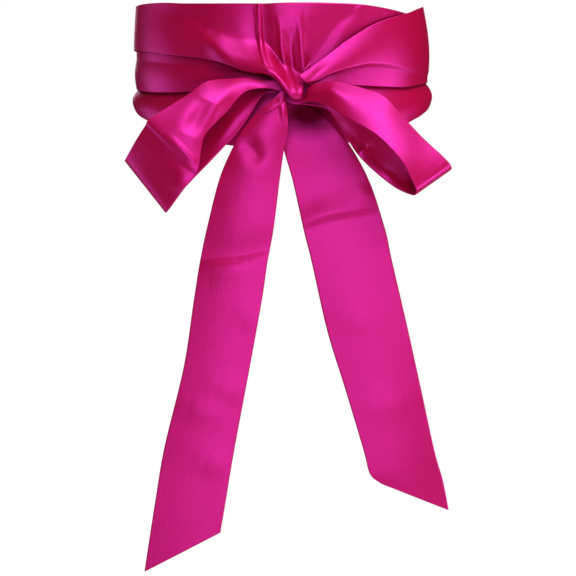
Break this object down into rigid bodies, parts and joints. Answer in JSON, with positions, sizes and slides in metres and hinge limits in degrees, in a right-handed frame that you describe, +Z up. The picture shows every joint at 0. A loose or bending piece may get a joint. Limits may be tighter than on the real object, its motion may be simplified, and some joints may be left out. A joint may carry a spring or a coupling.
{
  "type": "satin waist sash with bow",
  "caption": "Wide shaped satin sash worn round a waist, its ties crossed at the back and knotted in front in a bow with two loops and two long hanging tails cut on the slant.",
  "frame": {"origin": "centre of the waist opening, at the middle of the band's height at the sides, where the wearer's waist holds the sash", "axes": "+Z up, the bow faces -Y, +X to the right of someone facing the bow"},
  "size_m": [0.2929, 0.2628, 0.5208],
  "materials": {
    "satin": "magenta satin with a soft sheen"
  },
  "bodies": {
    "root": {"waist_panel": "satin", "left_tie_lower_fold": "satin", "left_tie": "satin", "right_tie": "satin", "back_tie_to_left": "satin", "back_tie_to_right": "satin", "left_loop": "satin", "right_loop": "satin", "left_tail": "satin", "right_tail": "satin"}
  },
  "joints": []
}
